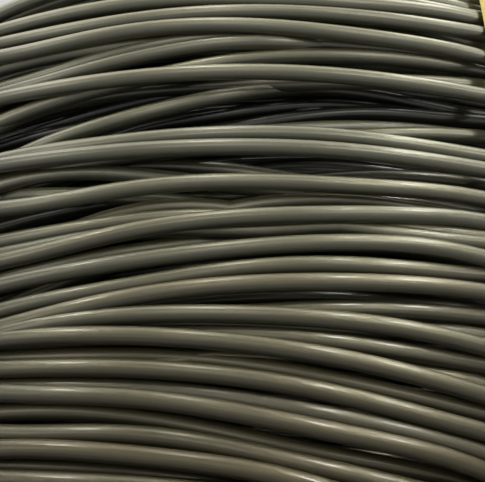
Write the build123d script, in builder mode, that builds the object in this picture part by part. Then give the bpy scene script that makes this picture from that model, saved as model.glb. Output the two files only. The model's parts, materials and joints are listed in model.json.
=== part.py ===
"""A coil of cold heading wire, standing on its end, bound by four flat bands with their seals.

Millimetres, +Z up. The origin is on the floor, on the coil's axis, and +Z runs along the axis.
The many turns of the wire are one turned block with its bore, the eye. On both end faces each
turn stands out of the block as a ring, so that the turns can be counted across the wall.
"""

from build123d import *

import os

# The wire and how it is wound.
wire_diameter = 14.0
bore_diameter = 914.0
turns_across = 9
turns_high = 50

# The bands that bind the coil, each laid round the wall and back through the eye.
band_count = 4
first_band_angle = -69.2
band_width = 19.0
band_thickness = 1.0
band_clearance = 0.8
band_lap_length = 120.0

# The folded seals that hold the lapped ends of the bands.
seal_length = 44.0
seal_thickness = 0.9
seal_clearance = 0.1
seal_height = 430.0

# What follows from them. The coil stands on the bands, which pass under it.
wire_radius = wire_diameter / 2
wall_thickness = turns_across * wire_diameter
coil_height = turns_high * wire_diameter
bore_radius = bore_diameter / 2
outer_radius = bore_radius + wall_thickness
wall_middle = bore_radius + wall_thickness / 2
coil_middle_height = band_thickness + band_clearance + coil_height / 2

# A turn is drawn eight-sided, as wide as the wire, with this much cut off each corner.
turn_corner_cut = wire_radius * (2 - 2**0.5)

# A flat band meets the round bore with its two edges, and the outer wall with its middle.
bore_rise_at_band_edge = bore_radius - (bore_radius**2 - (band_width / 2) ** 2) ** 0.5
band_bore_side = bore_radius - bore_rise_at_band_edge - band_clearance
band_wall_side = outer_radius + band_clearance
band_bend_radius = turn_corner_cut + band_clearance

# A seal is a channel over the two layers of the lap.
channel_depth = 2 * band_thickness + seal_clearance
channel_width = band_width + 2 * seal_clearance

# The turned block of the wire. Its profile is the wall between the end rows, and both end rows.
with BuildPart() as wire_coil:
    with BuildSketch(Plane.XZ) as wall_section:
        with Locations((wall_middle, coil_middle_height)):
            Rectangle(wall_thickness, coil_height - 2 * turn_corner_cut)
            with GridLocations(wire_diameter, coil_height - wire_diameter, turns_across, 2):
                RegularPolygon(wire_radius, 8, major_radius=False, rotation=22.5)
    revolve(axis=Axis.Z)
wire_coil.part.label = "wire_coil"

os.makedirs("parts", exist_ok=True)
export_step(wire_coil.part, "parts/wire_coil.step")

for number in range(band_count):
    angle = first_band_angle + number * 360 / band_count
    band_plane = Plane.XZ.rotated((0, 0, angle))
    seal_plane = Plane.XY.rotated((0, 0, angle)).offset(seal_height)

    # The band is a closed loop round the wall, with one more layer where its ends are lapped.
    with BuildPart() as band:
        loop_width = band_wall_side - band_bore_side
        loop_height = coil_height + 2 * band_clearance
        with BuildSketch(band_plane) as loop:
            with Locations(((band_wall_side + band_bore_side) / 2, coil_middle_height)):
                RectangleRounded(
                    loop_width + 2 * band_thickness,
                    loop_height + 2 * band_thickness,
                    band_bend_radius + band_thickness,
                )
                RectangleRounded(loop_width, loop_height, band_bend_radius, mode=Mode.SUBTRACT)
            with Locations((band_wall_side + 1.5 * band_thickness, seal_height)):
                Rectangle(band_thickness, band_lap_length)
        extrude(amount=band_width / 2, both=True)
    band.part.label = f"band_{number + 1}"
    export_step(band.part, f"parts/{band.part.label}.step")

    # The seal is folded round the lap: a plate over it and a flange down each of its edges.
    with BuildPart() as seal:
        with BuildSketch(seal_plane) as fold:
            with Locations((band_wall_side, 0)):
                Rectangle(
                    channel_depth + seal_thickness,
                    channel_width + 2 * seal_thickness,
                    align=(Align.MIN, Align.CENTER),
                )
                Rectangle(
                    channel_depth,
                    channel_width,
                    align=(Align.MIN, Align.CENTER),
                    mode=Mode.SUBTRACT,
                )
        extrude(amount=seal_length / 2, both=True)
    seal.part.label = f"seal_{number + 1}"
    export_step(seal.part, f"parts/{seal.part.label}.step")
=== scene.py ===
"""The looks of a coil of cold heading wire: its turns, its bands and its seals.

Metres, +Z up along the coil's axis. An azimuth is an angle about that axis, from -Y towards +X.
The turns are laid by their height and their distance from the axis, both as functions of azimuth.
Where the photograph shows the outer wall, a turn's height follows the edge that was read there.
Elsewhere it wanders as a loosely wound turn does. Turns that cross are then moved in and out
to lie on each other, apart from those of the same rank, which may overlap.
"""

import json
import logging
import math
from dataclasses import dataclass, field
from enum import Enum

import bpy
import numpy as np
from mathutils import Matrix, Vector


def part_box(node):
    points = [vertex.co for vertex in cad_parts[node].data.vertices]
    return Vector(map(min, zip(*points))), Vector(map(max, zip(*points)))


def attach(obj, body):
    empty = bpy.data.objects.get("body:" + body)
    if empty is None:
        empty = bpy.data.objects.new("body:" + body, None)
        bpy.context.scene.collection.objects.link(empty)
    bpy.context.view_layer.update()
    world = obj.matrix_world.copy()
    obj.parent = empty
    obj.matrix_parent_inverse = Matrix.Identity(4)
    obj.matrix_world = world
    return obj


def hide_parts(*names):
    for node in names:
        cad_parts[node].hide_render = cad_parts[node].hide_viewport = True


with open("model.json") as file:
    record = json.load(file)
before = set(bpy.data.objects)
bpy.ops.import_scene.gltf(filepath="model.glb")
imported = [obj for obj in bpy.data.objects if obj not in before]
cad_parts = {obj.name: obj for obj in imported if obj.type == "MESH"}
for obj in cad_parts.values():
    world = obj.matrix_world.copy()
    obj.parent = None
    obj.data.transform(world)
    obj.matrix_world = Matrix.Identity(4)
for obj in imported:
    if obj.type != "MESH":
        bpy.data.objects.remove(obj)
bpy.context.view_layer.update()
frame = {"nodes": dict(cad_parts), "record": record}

LOG = logging.getLogger("coil")

# The photograph's size, in pixels.
PHOTO_WIDTH = 485
PHOTO_HEIGHT = 482

# Turns across the wall, samples in a turn, and the azimuth, behind, at which a turn begins.
TURNS_ACROSS = 9
STEPS = 180
SEAM_AZIMUTH = math.radians(-159.2)

# A span is the low and the high end of a value, and what it is turned into at each.
Span = tuple[float, float, float, float]
Color = tuple[float, float, float]
Pixels = tuple[tuple[float, float], ...]


class Depth(Enum):
    """How far a turn lies behind the outer wall where the photograph shows it, in wires."""

    LEADING = 0.0
    FRONT = 0.15
    MIDDLE = 1.0
    DEEP = 1.9
    SUNK = 3.1

    @property
    def rank(self) -> int:
        """Its place in the order from the deepest out. Of two turns, the higher stays outside."""
        return len(Depth) - 1 - list(Depth).index(self)


@dataclass(frozen=True)
class Strand:
    """A stretch of wire in the photograph, by the upper edge that shows.

    Attributes:
        depth: how far in it lies.
        edge: points along its upper edge, in pixels of the photograph.
        sinks: the columns between which it sinks behind the others.
    """

    depth: Depth
    edge: Pixels
    sinks: tuple[float, float] | None = None

    @property
    def outermost(self) -> bool:
        """Whether it is a turn of the first layer."""
        return self.depth.rank >= Depth.MIDDLE.rank


LEADING, FRONT, MIDDLE, DEEP, SUNK = Depth

# The strands that were read, from the top of the photograph down.
STRANDS = (
    Strand(MIDDLE, ((0, 5), (9, 0), (60, -22), (240, -40), (440, -1), (465, 3), (485, 8))),
    Strand(FRONT, ((0, 8), (16, 0), (60, -18), (240, -33), (420, -1), (450, 5), (485, 12))),
    Strand(MIDDLE, ((0, 15), (27, 0), (60, -13), (240, -28), (400, -7), (450, 6), (485, 15))),
    Strand(FRONT, ((0, 18), (14, 9), (28, 0), (60, -13), (120, -22), (240, -24))),
    Strand(MIDDLE, ((24, 22), (38, 12), (55, 0), (90, -14), (240, -21))),
    Strand(MIDDLE, ((36, 17), (57, 7), (72, 0), (120, -12), (240, -16))),
    Strand(FRONT, ((0, 24.5), (30, 15.5), (60, 8), (120, -1), (240, -9), (360, -2), (420, 1.5),
                   (485, 15.5))),
    Strand(FRONT, ((0, 37), (60, 25), (120, 13.5), (180, 7), (240, 4), (300, 4.5), (360, 9), (420, 17),
                   (485, 27))),
    Strand(MIDDLE, ((0, 46), (60, 33.5), (120, 23), (200, 16.5), (240, 10.5), (300, 14), (360, 20.5),
                    (485, 29))),
    Strand(FRONT, ((0, 50), (60, 37.5), (120, 24.5), (180, 18.5), (240, 17.5), (300, 21), (360, 28),
                   (485, 51))),
    Strand(MIDDLE, ((0, 62), (30, 54.5), (60, 48), (110, 40), (240, 32), (360, 38), (485, 52))),
    Strand(DEEP, ((0, 73), (20, 66), (60, 57), (80, 54), (240, 44), (400, 58))),
    Strand(MIDDLE, ((0, 82), (60, 64), (120, 45.5), (180, 34), (240, 28), (360, 36), (485, 60))),
    Strand(MIDDLE, ((0, 89), (60, 71.5), (120, 54), (180, 41.5), (240, 36), (300, 35), (360, 39),
                    (420, 47), (485, 58)), (300, math.inf)),
    Strand(MIDDLE, ((90, 84), (170, 65), (240, 52), (300, 48.5), (340, 48), (400, 51), (440, 57),
                    (485, 64))),
    Strand(FRONT, ((0, 91), (60, 79.5), (120, 70.5), (180, 65.5), (240, 63.5), (300, 64.5), (360, 69.5),
                   (485, 88.5))),
    Strand(MIDDLE, ((0, 119.5), (30, 107), (60, 95.5), (80, 92), (240, 78), (400, 73.5), (430, 76.5),
                    (485, 83)), (85, 280)),
    Strand(SUNK, ((0, 133.5), (40, 121.5), (80, 110), (120, 99), (160, 90), (200, 84), (240, 80.5),
                  (270, 79.5))),
    Strand(MIDDLE, ((30, 144), (60, 131.5), (120, 111), (180, 98), (240, 84), (270, 80.5), (300, 82),
                    (400, 91), (485, 104)), (250, math.inf)),
    Strand(SUNK, ((120, 129.5), (180, 114), (240, 105), (300, 98), (360, 98), (400, 101))),
    Strand(SUNK, ((250, 117.5), (300, 110), (360, 106), (400, 107.5), (485, 113.5))),
    Strand(DEEP, ((240, 125.5), (300, 121), (340, 119), (400, 120), (485, 128.5))),
    Strand(DEEP, ((340, 130.5), (400, 128), (475, 131.5))),
    Strand(FRONT, ((0, 152.5), (60, 140.5), (120, 133), (180, 127.5), (240, 125), (300, 126),
                   (360, 130.5), (485, 149.5))),
    Strand(LEADING, ((0, 157.5), (60, 149), (120, 143), (180, 139.5), (240, 138), (300, 139.5),
                     (360, 144), (485, 162))),
    Strand(SUNK, ((240, 165), (270, 159.5), (310, 157.5))),
    Strand(DEEP, ((150, 158), (190, 158.5), (230, 162.5), (290, 171.5))),
    Strand(DEEP, ((60, 166.5), (80, 165), (130, 166.5), (205, 174.5))),
    Strand(SUNK, ((320, 172), (360, 170), (420, 171.5), (485, 177.5))),
    Strand(DEEP, ((0, 190), (40, 187.5), (80, 187.5))),
    Strand(FRONT, ((0, 200.5), (60, 192.5), (120, 182), (160, 176.5), (240, 173.5), (300, 174),
                   (400, 180.5), (485, 191.5))),
    Strand(DEEP, ((200, 197.5), (240, 201.5), (262, 206))),
    Strand(DEEP, ((304, 191.5), (320, 195), (353, 204))),
    Strand(DEEP, ((392, 197), (420, 201.5), (450, 206))),
    Strand(DEEP, ((362, 221), (380, 224), (407, 229.5))),
    Strand(MIDDLE, ((0, 234.5), (60, 223), (100, 216.5), (150, 210), (200, 207.5), (300, 213),
                    (400, 225))),
    Strand(MIDDLE, ((0, 247.5), (40, 239.5), (90, 229.5), (180, 221), (300, 219))),
    Strand(FRONT, ((0, 253), (60, 239), (120, 224.5), (180, 214), (240, 208.5), (300, 205.5),
                   (380, 205.5), (485, 214.5))),
    Strand(MIDDLE, ((0, 273), (60, 256.5), (120, 245), (180, 235), (240, 230.5), (300, 228.5),
                    (400, 233))),
    Strand(FRONT, ((0, 277), (60, 265), (120, 253), (180, 246), (240, 239), (300, 235), (370, 233.5),
                   (440, 241), (485, 250))),
    Strand(FRONT, ((0, 303), (60, 288), (120, 278), (180, 266), (240, 259), (300, 256), (380, 257.5),
                   (485, 266.5))),
    Strand(FRONT, ((0, 319.5), (60, 303.5), (120, 291), (180, 280.5), (240, 275.5), (300, 272.5),
                   (380, 273.5), (485, 283.5))),
    Strand(FRONT, ((0, 326), (60, 312.5), (120, 307), (200, 303.5), (300, 307.5), (380, 315.5),
                   (485, 338.5))),
    Strand(MIDDLE, ((160, 305), (280, 302), (360, 300), (440, 304), (485, 308.5))),
    Strand(MIDDLE, ((0, 327), (120, 316.5), (240, 314.5), (360, 321), (430, 323.5), (485, 329))),
    Strand(FRONT, ((0, 330.5), (60, 326.5), (120, 325.5), (180, 328.5), (240, 334), (340, 348),
                   (420, 367), (485, 386))),
    Strand(MIDDLE, ((0, 333), (60, 330), (170, 326), (240, 326.5), (300, 329.5), (360, 336.5),
                    (440, 349), (485, 356.5))),
    Strand(MIDDLE, ((400, 360), (430, 366), (460, 371.5), (485, 378))),
    Strand(MIDDLE, ((0, 349), (120, 347), (180, 349), (240, 355), (300, 364), (400, 385), (485, 406))),
    Strand(FRONT, ((0, 360), (90, 358), (180, 361.5), (240, 367.5), (300, 377), (380, 394.5),
                   (485, 422.5))),
    Strand(FRONT, ((0, 378), (100, 377.5), (180, 382.5), (240, 389), (300, 400), (380, 416), (485, 445))),
    Strand(FRONT, ((0, 383), (100, 386), (180, 393), (240, 403.5), (300, 415), (380, 432), (485, 463))),
    Strand(MIDDLE, ((0, 403.5), (60, 402), (140, 408), (180, 413), (240, 429), (320, 442), (400, 459),
                    (485, 477))),
    Strand(FRONT, ((0, 423.5), (100, 423.5), (180, 429.5), (240, 440), (320, 457.5), (400, 476))),
    Strand(LEADING, ((0, 439), (80, 440.5), (160, 447.5), (240, 458), (320, 477))),
    Strand(MIDDLE, ((0, 455.5), (120, 461), (200, 469), (270, 480))),
    Strand(MIDDLE, ((0, 468.5), (60, 471), (120, 474), (220, 480))),
)


@dataclass(frozen=True)
class CoilSizes:
    """The coil's sizes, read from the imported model's boxes.

    Attributes:
        wire: diameter of the wire.
        outer: radius of the outer wall.
        bore: radius of the eye.
        low: height of the lower end face.
        high: height of the upper end face.
    """

    wire: float
    outer: float
    bore: float
    low: float
    high: float

    @classmethod
    def from_frame(cls) -> "CoilSizes":
        """Reads the sizes from the box of the turned block and from the mount of the eye.

        Returns:
            The sizes, in metres.
        """
        low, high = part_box("wire_coil")
        eye = next(m for m in frame["record"]["mounts"] if m["name"] == "eye")
        bore = eye["dims"]["r_mm"] / 1000
        wire = (high.x - bore) / TURNS_ACROSS
        return cls(wire=wire, outer=high.x, bore=bore, low=low.z, high=high.z)

    @property
    def wire_radius(self) -> float:
        """Half the wire's diameter."""
        return self.wire / 2

    @property
    def wall_line(self) -> float:
        """Distance from the axis to the middle of a wire that lies in the outer wall."""
        return self.outer - self.wire_radius

    @property
    def lowest_line(self) -> float:
        """Height of the middle of a wire that lies in the lower end face."""
        return self.low + self.wire_radius

    @property
    def highest_line(self) -> float:
        """Height of the middle of a wire that lies in the upper end face."""
        return self.high - self.wire_radius


@dataclass(frozen=True)
class PhotoCamera:
    """The camera of the photograph, low in front of the coil and looking up at its outer wall.

    Attributes:
        coil_radius: radius of the coil, which the distances are shares of.
        height: height of the camera over the floor.
        focal: focal length in pixels of the photograph.
        tilt: how far it looks up, in degrees.
        roll: how far it is turned about its own axis, in degrees.
        aside: distance of the coil's axis from the middle of the picture, in coil radii.
        away: distance of the coil's axis along the view, in coil radii.
        sensor_width: width of the sensor, in millimetres.
        nearest: distance from which on the camera sees things.
    """

    coil_radius: float
    height: float = 0.120
    focal: float = 800.0
    tilt: float = 27.1
    roll: float = -0.8
    aside: float = 0.05
    away: float = 2.16
    sensor_width: float = 36.0
    nearest: float = 0.01

    def axes(self) -> np.ndarray:
        """The camera's right, up and forward directions, as rows.

        Returns:
            A 3 by 3 array. The forward direction is +Y raised by the tilt, and right and up are
            turned about it by the roll.
        """
        tilt, roll = math.radians(self.tilt), math.radians(self.roll)
        forward = np.array([0.0, math.cos(tilt), math.sin(tilt)])
        level_up = np.array([0.0, -math.sin(tilt), math.cos(tilt)])
        level_right = np.array([1.0, 0.0, 0.0])
        right = math.cos(roll) * level_right + math.sin(roll) * level_up
        up = -math.sin(roll) * level_right + math.cos(roll) * level_up
        return np.stack([right, up, forward])

    def place(self) -> np.ndarray:
        """The camera's position.

        Returns:
            The point from which the coil's axis lies `aside` to the right and `away` in front.
        """
        right, _, forward = self.axes()
        position = -self.coil_radius * (self.aside * right + self.away * forward)
        position[2] = self.height
        return position

    def rays(self, pixels: np.ndarray) -> np.ndarray:
        """Directions of the rays through points of the photograph.

        Args:
            pixels: an n by 2 array of x and y, y running down.

        Returns:
            An n by 3 array of unit vectors.
        """
        right, up, forward = self.axes()
        across = (pixels[:, :1] - PHOTO_WIDTH / 2) / self.focal
        rise = (PHOTO_HEIGHT / 2 - pixels[:, 1:]) / self.focal
        rays = across * right + rise * up + forward
        return rays / np.linalg.norm(rays, axis=1, keepdims=True)

    def wire_line(
        self, edge: np.ndarray, radii: np.ndarray, wire_radius: float
    ) -> tuple[np.ndarray, np.ndarray]:
        """The line of a wire whose upper edge shows at points of the photograph.

        A ray that grazes the wire passes one wire radius above its line. So the ray is lowered by
        that much, square to itself, and cut with the cylinder on which the wire lies.

        Args:
            edge: an n by 2 array of pixels on the upper edge.
            radii: the n distances of the wire's line from the coil's axis.
            wire_radius: half the wire's diameter.

        Returns:
            The azimuths and the heights of the wire's line.
        """
        rays = self.rays(edge)
        level = np.linalg.norm(rays[:, :2], axis=1, keepdims=True)
        above = np.concatenate([-rays[:, :2] * rays[:, 2:] / level, level], axis=1)
        start = self.place() - wire_radius * above
        a = (rays[:, :2] ** 2).sum(1)
        b = (start[:, :2] * rays[:, :2]).sum(1)
        c = (start[:, :2] ** 2).sum(1) - radii**2
        reach = (-b - np.sqrt(np.maximum(b * b - a * c, 0.0))) / a
        points = start + reach[:, None] * rays
        return np.arctan2(points[:, 0], -points[:, 1]), points[:, 2]

    def build(self) -> None:
        """Makes the camera and makes it the scene's."""
        data = bpy.data.cameras.new("photo_camera")
        data.sensor_fit = "HORIZONTAL"
        data.sensor_width = self.sensor_width
        data.lens = self.sensor_width * self.focal / PHOTO_WIDTH
        data.clip_start = self.nearest
        camera = bpy.data.objects.new("photo_camera", data)
        right, up, forward = self.axes()
        turn = Matrix(np.stack([right, up, -forward], axis=1).tolist()).to_4x4()
        camera.matrix_world = Matrix.Translation(self.place().tolist()) @ turn
        bpy.context.scene.collection.objects.link(camera)
        bpy.context.scene.camera = camera


def ease(share: np.ndarray) -> np.ndarray:
    """A smooth step from 0 to 1 while its input goes from 0 to 1."""
    share = np.clip(share, 0.0, 1.0)
    return share * share * (3 - 2 * share)


def smooth_along(values: np.ndarray) -> np.ndarray:
    """A row of values, each averaged with its two neighbours, with weights 1, 2 and 1."""
    padded = np.concatenate([values[:1], values, values[-1:]])
    return (padded[:-2] + 2 * padded[1:-1] + padded[2:]) / 4


@dataclass(frozen=True)
class Wave:
    """A wave round the coil, whose phase drifts from turn to turn.

    Neighbouring turns so run together for a while and then cross.

    Attributes:
        count: how often it goes up and down in a turn.
        size: how high it is, as a share.
        drift: how far its phase drifts in a turn, in radians.
    """

    count: int
    size: float
    drift: float

    def drawn(self, rng: np.random.Generator, azimuth: np.ndarray, along: np.ndarray) -> np.ndarray:
        """Draws the phases and gives the wave at each sample.

        It is the size times the sine of the count times the azimuth plus the phase.

        Args:
            rng: the random draws.
            azimuth: azimuth of each sample.
            along: place of each sample along the wire, in turns.

        Returns:
            The wave at each sample.
        """
        turns = np.arange(len(along) // STEPS + 1)
        phases = rng.uniform(0, 2 * math.pi) + np.cumsum(rng.normal(0.0, self.drift, len(turns)))
        return self.size * np.sin(self.count * azimuth + np.interp(along, turns, phases))


@dataclass
class Layer:
    """A layer of turns that one length of wire makes, one turn on the other.

    Each turn is a row of samples, and the last sample of a row runs on into the next row.

    Attributes:
        sizes: the coil's sizes.
        turns: how many turns it has.
        rest_radius: distance from the axis at which a turn lies that nothing moves.
        wander: how far a turn strays up and down.
        seed: start of the layer's random draws.
        scatter: how far the turns' distances from the axis differ.
        waves: the waves in which it strays.
        soft_stop: over what share of the wander the end faces hold a turn in.
        shade_from: how many wires behind the outer wall the shade begins.
        shade_over: over how many wires it becomes full.
        azimuths: azimuth of each sample of a turn.
        wound: the heights as a winding machine leaves them.
        heights: the heights as they are laid.
        targets: the distances from the axis to which the turns are drawn.
        radii: their distances from the axis.
        hidden: how far each sample is sunk out of sight, from 0 to 1.
        ranks: which of two turns that cross stays outside, the one with the higher rank.
        strands: the strands that were read, by the number of their turn.
    """

    sizes: CoilSizes
    turns: int
    rest_radius: float
    wander: float
    seed: int
    scatter: float = 0.0
    waves: tuple[Wave, ...] = (
        Wave(1, 0.55, 0.4),
        Wave(2, 0.4, 0.6),
        Wave(3, 0.3, 0.8),
        Wave(5, 0.16, 1.0),
    )
    soft_stop: float = 0.7
    shade_from: float = 1.5
    shade_over: float = 1.6
    azimuths: np.ndarray = field(init=False)
    wound: np.ndarray = field(init=False)
    heights: np.ndarray = field(init=False)
    targets: np.ndarray = field(init=False)
    radii: np.ndarray = field(init=False)
    hidden: np.ndarray = field(init=False)
    ranks: np.ndarray = field(init=False)
    strands: dict[int, Strand] = field(init=False, default_factory=dict)

    def __post_init__(self) -> None:
        """Lays the turns as a winding machine leaves them, before any of them is read off."""
        rng = np.random.default_rng(self.seed)
        low, high = self.sizes.lowest_line, self.sizes.highest_line
        along = np.arange(self.turns * STEPS) / STEPS
        self.azimuths = SEAM_AZIMUTH + 2 * math.pi * (np.arange(STEPS) / STEPS)
        azimuth = np.tile(self.azimuths, self.turns)
        strays = sum(wave.drawn(rng, azimuth, along) for wave in self.waves)
        heights = low + (high - low) * along / self.turns + self.wander * strays
        self.wound = self.held_in(heights).reshape(self.turns, STEPS)
        self.heights = self.wound.copy()
        draws = rng.uniform(-1.0, 1.0, self.turns)
        self.targets = np.repeat((self.rest_radius + self.scatter * draws)[:, None], STEPS, axis=1)
        self.radii = self.targets.copy()
        self.hidden = np.zeros_like(self.radii)
        # Odd turns stay outside even ones, and chance decides between two of a kind.
        self.ranks = 0.5 * (np.arange(self.turns) % 2) + rng.uniform(0.0, 0.5, self.turns)

    def held_in(self, heights: np.ndarray) -> np.ndarray:
        """Keeps heights between the lowest and the highest line, with a soft stop at both."""
        low, high = self.sizes.lowest_line, self.sizes.highest_line
        soft = self.soft_stop * self.wander
        over = np.maximum(heights - (high - soft), 0.0)
        under = np.maximum(low + soft - heights, 0.0)
        return heights - over + soft * np.tanh(over / soft) + under - soft * np.tanh(under / soft)

    def smooth(self) -> None:
        """Smooths the distances from the axis along the whole wire."""
        self.radii = smooth_along(self.radii.ravel()).reshape(self.turns, STEPS)

    def middle(self) -> int:
        """The sample that faces the photograph's camera."""
        return int(np.argmin(np.abs(self.azimuths)))

    def shade(self) -> np.ndarray:
        """How deep in shade each sample lies: none in front, full a few wires further in."""
        inwards = (self.sizes.wall_line - self.radii.ravel()) / self.sizes.wire
        return ease((inwards - self.shade_from) / self.shade_over)

    def path(self) -> np.ndarray:
        """The points of the wire's line, from its lower to its upper end."""
        azimuth = np.tile(self.azimuths, self.turns)
        radii, heights = self.radii.ravel(), self.heights.ravel()
        return np.stack([radii * np.sin(azimuth), -radii * np.cos(azimuth), heights], axis=1)


@dataclass
class Winding:
    """The two outer layers, as the photograph shows them in front and as they wander elsewhere.

    Attributes:
        sizes: the coil's sizes.
        camera: the camera that the strands were read through.
        outer_wires: how far behind the outer wall the first layer's turns rest, in wires.
        second_wires: how far behind it the second layer's turns rest, in wires.
        sunk_wires: how far behind it the turns are sunk that the photograph doesn't show.
        deepest_wires: how far behind it a turn lies at most, in wires.
        samples: how many points a strand is worked out at.
        degree: degree of the polynomial through a strand's points, where it has enough of them.
        slope_samples: over how many of its points the slope at its end is taken.
        slope_reach: the angle over which a turn keeps the slope beyond a strand's end.
        steepest: the steepest slope that it keeps, in metres for each radian.
        blend: the angle beyond a strand's end over which a turn goes back to its own way.
        sink_reach: the angle over which a strand sinks.
        passes_front: the share of a turn that lies before it passes the front.
        view_half: half the angle of the wall that the photograph shows.
        view_fade: the angle over which sunk turns come out beyond it.
        pull: what share of its way a turn is drawn back in each settling.
        settlings: how often the turns are settled after each reading of the strands.
        outer: the first layer.
        second: the layer behind it.
    """

    sizes: CoilSizes
    camera: PhotoCamera
    outer_wires: float = 0.55
    second_wires: float = 1.9
    sunk_wires: float = 3.4
    deepest_wires: float = 4.2
    samples: int = 60
    degree: int = 5
    slope_samples: int = 6
    slope_reach: float = math.radians(9.0)
    steepest: float = 0.22
    blend: float = math.radians(38.0)
    sink_reach: float = math.radians(5.0)
    passes_front: float = 0.44
    view_half: float = math.radians(23.0)
    view_fade: float = math.radians(18.0)
    pull: float = 0.03
    settlings: tuple[int, ...] = (60, 30, 30)
    outer: Layer = field(init=False)
    second: Layer = field(init=False)

    def __post_init__(self) -> None:
        """Makes both layers, and gives each strand its turn."""
        rest = self.line_behind(self.outer_wires)
        self.outer = Layer(self.sizes, turns=62, rest_radius=rest, wander=0.014, seed=11, scatter=0.004)
        rest = self.line_behind(self.second_wires)
        self.second = Layer(self.sizes, turns=46, rest_radius=rest, wander=0.012, seed=23, scatter=0.002)
        # Where neither turn was read, one of the first layer stays outside one of the second.
        self.outer.ranks += 2.0
        self.assign(self.outer, [strand for strand in STRANDS if strand.outermost])
        self.assign(self.second, [strand for strand in STRANDS if not strand.outermost])

    def line_behind(self, wires: float) -> float:
        """Distance from the axis of a turn that lies so many wires behind the outer wall."""
        return self.sizes.wall_line - wires * self.sizes.wire

    def heights_of(
        self, strand: Strand, radii: np.ndarray, azimuths: np.ndarray
    ) -> tuple[np.ndarray, np.ndarray]:
        """Heights of a turn that follows a strand, and how firmly it does.

        A smooth polynomial goes through the points of the edge. Beyond the ends the turn keeps its
        slope for a while.

        Args:
            strand: the strand.
            radii: distance from the axis at each azimuth.
            azimuths: the azimuths of the layer's samples.

        Returns:
            The heights, and weights that fall from 1 to 0 beyond the strand's ends.
        """
        edge = np.array(strand.edge, float)
        degree = min(self.degree, len(edge) - 1)
        curve = np.polynomial.Polynomial.fit(edge[:, 0], edge[:, 1], degree)
        x = np.linspace(edge[0, 0], edge[-1, 0], self.samples)
        pixels = np.stack([x, curve(x)], 1)
        azimuth = np.zeros_like(x)
        # The radius depends on the azimuth and the other way round, and a few rounds agree.
        for _ in range(3):
            here = np.interp(azimuth, azimuths, radii)
            azimuth, height = self.camera.wire_line(pixels, here, self.sizes.wire_radius)
        heights = np.interp(azimuths, azimuth, height)
        for end, side in ((0, -1), (-1, 1)):
            inner = end - side * self.slope_samples
            slope = (height[end] - height[inner]) / (azimuth[end] - azimuth[inner])
            slope = float(np.clip(slope, -self.steepest, self.steepest))
            beyond = np.maximum(side * (azimuths - azimuth[end]), 0.0)
            heights += side * slope * self.slope_reach * (1 - np.exp(-beyond / self.slope_reach))
        outside = np.maximum(azimuth[0] - azimuths, 0.0) + np.maximum(azimuths - azimuth[-1], 0.0)
        return heights, 1.0 - ease(outside / self.blend)

    def assign(self, layer: Layer, strands: list[Strand]) -> None:
        """Gives each strand the turn that is nearest to it in height, from the top down.

        Args:
            layer: the layer that the strands belong to.
            strands: the strands.
        """
        levels = []
        for strand in strands:
            radii = np.full(STEPS, self.line_behind(strand.depth.value))
            levels.append(self.heights_of(strand, radii, layer.azimuths)[0][layer.middle()])
        order = np.argsort(levels)[::-1]
        low, high = self.sizes.lowest_line, self.sizes.highest_line
        even = low + (high - low) * (np.arange(layer.turns) + self.passes_front) / layer.turns
        turn = layer.turns
        for rank, number in enumerate(order):
            room = len(order) - rank - 1
            nearest = int(np.argmin(np.abs(even - levels[number])))
            turn = max(min(turn - 1, nearest), room)
            layer.strands[turn] = strands[number]

    def azimuth_of(self, strand: Strand, column: float) -> float:
        """The azimuth at which a strand passes a column of the photograph."""
        x, y = np.array(strand.edge, float).T
        point = np.array([[column, np.interp(column, x, y)]])
        radius = np.array([self.line_behind(strand.depth.value)])
        azimuths, _ = self.camera.wire_line(point, radius, self.sizes.wire_radius)
        return float(azimuths[0])

    def sunk_share(self, strand: Strand, weight: np.ndarray, azimuths: np.ndarray) -> np.ndarray:
        """How far a turn sinks behind the others along a strand.

        Args:
            strand: the strand.
            weight: how firmly the turn follows it.
            azimuths: the azimuths of the layer's samples.

        Returns:
            The weight between the strand's sinking columns, and 0 beyond them.
        """
        share = weight if strand.sinks else np.zeros(STEPS)
        for column, side in zip(strand.sinks or (), (1, -1)):
            if math.isfinite(column):
                inside = side * (azimuths - self.azimuth_of(strand, column))
                share = share * ease(0.5 + inside / self.sink_reach)
        return share

    def follow(self) -> None:
        """Lays the assigned turns along their strands, and leaves the others as they wander."""
        for layer in (self.outer, self.second):
            layer.heights = layer.wound.copy()
            for turn, strand in layer.strands.items():
                heights, weight = self.heights_of(strand, layer.radii[turn], layer.azimuths)
                layer.heights[turn] += weight * (heights - layer.heights[turn])
                shown = self.line_behind(strand.depth.value)
                layer.targets[turn] = layer.rest_radius + weight * (shown - layer.rest_radius)
                sunk = self.sunk_share(strand, weight, layer.azimuths)
                layer.targets[turn] += sunk * (self.line_behind(SUNK.value) - layer.targets[turn])
                layer.hidden[turn] = sunk
                layer.ranks[turn] = strand.depth.rank + 0.5 * (turn % 2)
            layer.heights = np.clip(layer.heights, self.sizes.lowest_line, self.sizes.highest_line)

    def squeeze(self) -> None:
        """Lets the turns under and over those that were read make room for them.

        Each strays like the nearest turn that was read, the less the nearer it is to an end face.
        """
        layer = self.outer
        lowest, highest = min(layer.strands), max(layer.strands)
        below = layer.heights[lowest] - layer.wound[lowest]
        above = layer.heights[highest] - layer.wound[highest]
        for turn in range(lowest):
            layer.heights[turn] += (turn + 1) / (lowest + 1) * below
        for turn in range(highest + 1, layer.turns):
            layer.heights[turn] += (layer.turns - turn) / (layer.turns - highest) * above

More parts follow.
